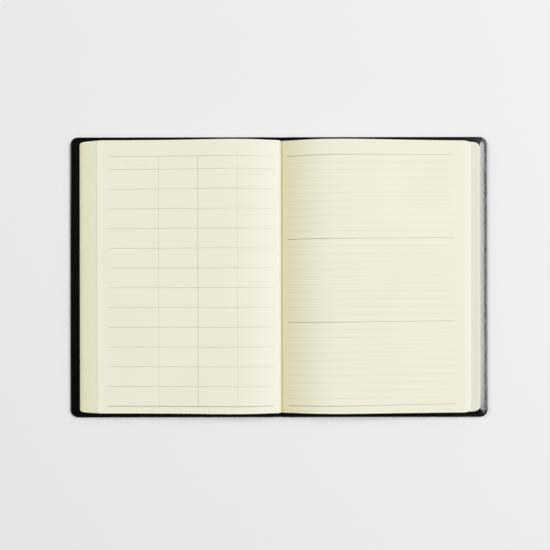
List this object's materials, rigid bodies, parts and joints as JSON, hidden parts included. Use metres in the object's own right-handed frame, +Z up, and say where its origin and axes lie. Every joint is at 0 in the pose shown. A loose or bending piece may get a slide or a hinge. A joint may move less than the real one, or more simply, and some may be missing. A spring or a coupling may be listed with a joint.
{
  "type": "three-year diary",
  "caption": "Case-bound diary lying open: black leatherette covers over board, a flat spine, and cream folded sections that turn about their folds as the covers close.",
  "frame": {"origin": "underside of the case, under the middle of the spine", "axes": "+X to the right-hand page, +Y to the head of the page, +Z up from the table"},
  "size_m": [0.3274, 0.22, 0.0179],
  "materials": {
    "leatherette": "near-black grained leatherette, semi-gloss",
    "board": "grey-brown pressed board, matt",
    "lining_cloth": "open white gauze stiffened with glue",
    "glued_paper": "cream paper folds set in clear glue",
    "endpaper": "heavy cream endpaper, matt",
    "paper": "smooth cream writing paper, matt, ruled in fine grey"
  },
  "bodies": {
    "spine": {"spine_skin": "leatherette", "spine_strip": "board", "spine_lining": "lining_cloth", "glued_back": "glued_paper"},
    "front_cover": {"front_cover_skin": "leatherette", "front_board": "board", "front_pastedown": "endpaper"},
    "back_cover": {"back_cover_skin": "leatherette", "back_board": "board", "back_pastedown": "endpaper"},
    "front_flyleaf": {"front_flyleaf": "endpaper"},
    "back_flyleaf": {"back_flyleaf": "endpaper"},
    "section_01": {"section_01": "paper"},
    "section_02": {"section_02": "paper"},
    "section_03": {"section_03": "paper"},
    "section_04": {"section_04": "paper"},
    "section_05": {"section_05": "paper"},
    "section_06": {"section_06": "paper"},
    "section_07": {"section_07": "paper"},
    "section_08": {"section_08": "paper", "front_arched_leaf_1": "paper", "front_arched_leaf_2": "paper", "front_arched_leaf_3": "paper"},
    "section_09": {"section_09": "paper", "back_arched_leaf_1": "paper", "back_arched_leaf_2": "paper", "back_arched_leaf_3": "paper"},
    "section_10": {"section_10": "paper"},
    "section_11": {"section_11": "paper"},
    "section_12": {"section_12": "paper"}
  },
  "joints": [
    {"name": "front_cover_hinge", "type": "hinge", "parent": "spine", "child": "front_cover", "pos_m": [-0.00865, 0, 0.003], "axis": [0, 1, 0], "range_deg": [0, 90]},
    {"name": "back_cover_hinge", "type": "hinge", "parent": "spine", "child": "back_cover", "pos_m": [0.00865, 0, 0.003], "axis": [0, -1, 0], "range_deg": [0, 90]},
    {"name": "front_flyleaf_fold", "type": "hinge", "parent": "spine", "child": "front_flyleaf", "pos_m": [-0.00775, 0, 0.0039], "axis": [0, 1, 0], "range_deg": [0, 90]},
    {"name": "section_01_fold", "type": "hinge", "parent": "spine", "child": "section_01", "pos_m": [-0.007, 0, 0.00465], "axis": [0, 1, 0], "range_deg": [0, 90]},
    {"name": "section_02_fold", "type": "hinge", "parent": "spine", "child": "section_02", "pos_m": [-0.006, 0, 0.00565], "axis": [0, 1, 0], "range_deg": [0, 90]},
    {"name": "section_03_fold", "type": "hinge", "parent": "spine", "child": "section_03", "pos_m": [-0.005, 0, 0.00665], "axis": [0, 1, 0], "range_deg": [0, 90]},
    {"name": "section_04_fold", "type": "hinge", "parent": "spine", "child": "section_04", "pos_m": [-0.004, 0, 0.00765], "axis": [0, 1, 0], "range_deg": [0, 90]},
    {"name": "section_05_fold", "type": "hinge", "parent": "spine", "child": "section_05", "pos_m": [-0.003, 0, 0.00865], "axis": [0, 1, 0], "range_deg": [0, 90]},
    {"name": "section_06_fold", "type": "hinge", "parent": "spine", "child": "section_06", "pos_m": [-0.002, 0, 0.00965], "axis": [0, 1, 0], "range_deg": [0, 90]},
    {"name": "section_07_fold", "type": "hinge", "parent": "spine", "child": "section_07", "pos_m": [-0.001, 0, 0.01065], "axis": [0, 1, 0], "range_deg": [0, 90]},
    {"name": "section_08_fold", "type": "hinge", "parent": "spine", "child": "section_08", "pos_m": [0, 0, 0.01165], "axis": [0, 1, 0], "range_deg": [0, 90], "deforming": ["front_arched_leaf_1", "front_arched_leaf_2", "front_arched_leaf_3"]},
    {"name": "back_flyleaf_fold", "type": "hinge", "parent": "spine", "child": "back_flyleaf", "pos_m": [0.00775, 0, 0.0039], "axis": [0, -1, 0], "range_deg": [0, 90]},
    {"name": "section_12_fold", "type": "hinge", "parent": "spine", "child": "section_12", "pos_m": [0.007, 0, 0.00465], "axis": [0, -1, 0], "range_deg": [0, 90]},
    {"name": "section_11_fold", "type": "hinge", "parent": "spine", "child": "section_11", "pos_m": [0.006, 0, 0.00565], "axis": [0, -1, 0], "range_deg": [0, 90]},
    {"name": "section_10_fold", "type": "hinge", "parent": "spine", "child": "section_10", "pos_m": [0.005, 0, 0.00665], "axis": [0, -1, 0], "range_deg": [0, 90]},
    {"name": "section_09_fold", "type": "hinge", "parent": "spine", "child": "section_09", "pos_m": [0.004, 0, 0.00765], "axis": [0, -1, 0], "range_deg": [0, 90], "deforming": ["back_arched_leaf_1", "back_arched_leaf_2", "back_arched_leaf_3"]}
  ],
  "couplings": [
    {"joint": "front_flyleaf_fold", "follows": "front_cover_hinge", "ratio": 1},
    {"joint": "section_01_fold", "follows": "front_cover_hinge", "ratio": 1},
    {"joint": "section_02_fold", "follows": "front_cover_hinge", "ratio": 1},
    {"joint": "section_03_fold", "follows": "front_cover_hinge", "ratio": 1},
    {"joint": "section_04_fold", "follows": "front_cover_hinge", "ratio": 1},
    {"joint": "section_05_fold", "follows": "front_cover_hinge", "ratio": 1},
    {"joint": "section_06_fold", "follows": "front_cover_hinge", "ratio": 1},
    {"joint": "section_07_fold", "follows": "front_cover_hinge", "ratio": 1},
    {"joint": "section_08_fold", "follows": "front_cover_hinge", "ratio": 1},
    {"joint": "back_flyleaf_fold", "follows": "back_cover_hinge", "ratio": 1},
    {"joint": "section_12_fold", "follows": "back_cover_hinge", "ratio": 1},
    {"joint": "section_11_fold", "follows": "back_cover_hinge", "ratio": 1},
    {"joint": "section_10_fold", "follows": "back_cover_hinge", "ratio": 1},
    {"joint": "section_09_fold", "follows": "back_cover_hinge", "ratio": 1}
  ]
}
